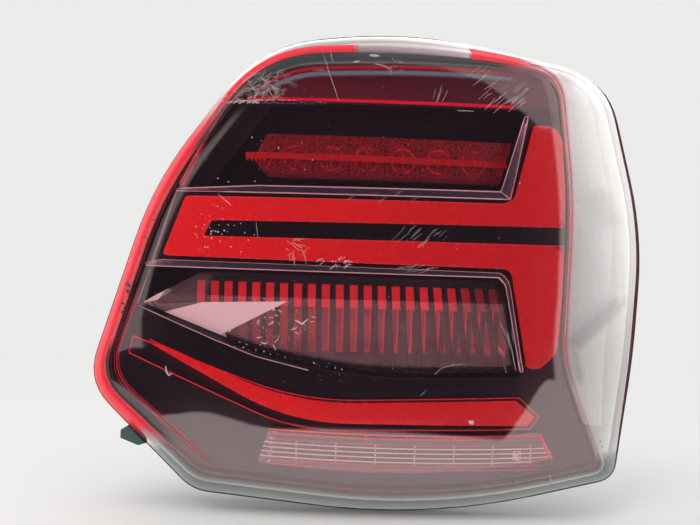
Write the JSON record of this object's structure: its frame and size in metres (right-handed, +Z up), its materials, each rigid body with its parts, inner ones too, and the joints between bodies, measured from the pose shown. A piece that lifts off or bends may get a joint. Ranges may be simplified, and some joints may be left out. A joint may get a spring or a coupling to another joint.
{
  "type": "tail light cluster",
  "caption": "Right-hand vehicle tail light cluster with a smoked red wrap-round lens, stepped light guides, finned turn lamp and a rear housing on two studs.",
  "frame": {"origin": "midway between the two fixing studs, in the plane where the studs' bosses meet the vehicle body", "axes": "+Y into the vehicle body along the studs, so the lens looks along -Y; +Z up; +X outboard, towards the side the lens wraps round"},
  "size_m": [0.3127, 0.1206, 0.2637],
  "materials": {
    "smoked_red_lens": "polished smoked red acrylic, clear where it is thin",
    "housing_plastic": "moulded black",
    "bezel_black": "glossy black",
    "side_black": "fine grain",
    "chamber_black": "moulded black",
    "light_box_white": "white reflecting plastic",
    "dark_chrome": "smoked chrome film",
    "silver_trim": "bright chrome film",
    "stop_red": "red acrylic",
    "bar_red": "red acrylic",
    "reflector_metal": "vacuum metallised",
    "board_green": "solder mask",
    "led_body": "moulded package",
    "guide_red": "red light guide",
    "clear_lens": "clear acrylic",
    "fin_red": "red acrylic",
    "prism_dark": "dark red acrylic",
    "carrier_grey": "moulded grey",
    "plated_steel": "zinc plated",
    "cable_film": "polyimide film over copper",
    "contact_brass": "tinned",
    "seal_foam": "closed-cell foam",
    "cap_rubber": "soft rubber"
  },
  "bodies": {
    "root": {"outer_lens": "smoked_red_lens", "housing": "housing_plastic", "bezel": "bezel_black", "side_bezel": "side_black", "upper_chamber": "chamber_black", "lower_chamber": "chamber_black", "tail_light_box": "light_box_white", "upper_window_trim": "dark_chrome", "lower_window_trim": "silver_trim", "stop_lens": "stop_red", "stop_light_bar": "bar_red", "stop_reflector": "reflector_metal", "stop_board": "board_green", "stop_leds": "led_body", "tail_light_guide": "guide_red", "tail_board": "board_green", "tail_leds": "led_body", "turn_lens": "clear_lens", "turn_fins": "fin_red", "turn_board": "board_green", "turn_leds": "led_body", "lower_light_guide": "guide_red", "lower_guide_carrier": "prism_dark", "reverse_lens": "clear_lens", "reverse_tray": "reflector_metal", "reverse_board": "board_green", "reverse_leds": "led_body", "lamp_carrier": "carrier_grey", "carrier_screws": "plated_steel", "inner_wires": "cable_film", "connector_socket": "housing_plastic", "contact_pins": "contact_brass", "fixing_studs": "plated_steel", "stud_seals": "seal_foam", "perimeter_seal": "seal_foam", "locating_pins": "housing_plastic", "vent_caps": "cap_rubber"}
  },
  "joints": []
}
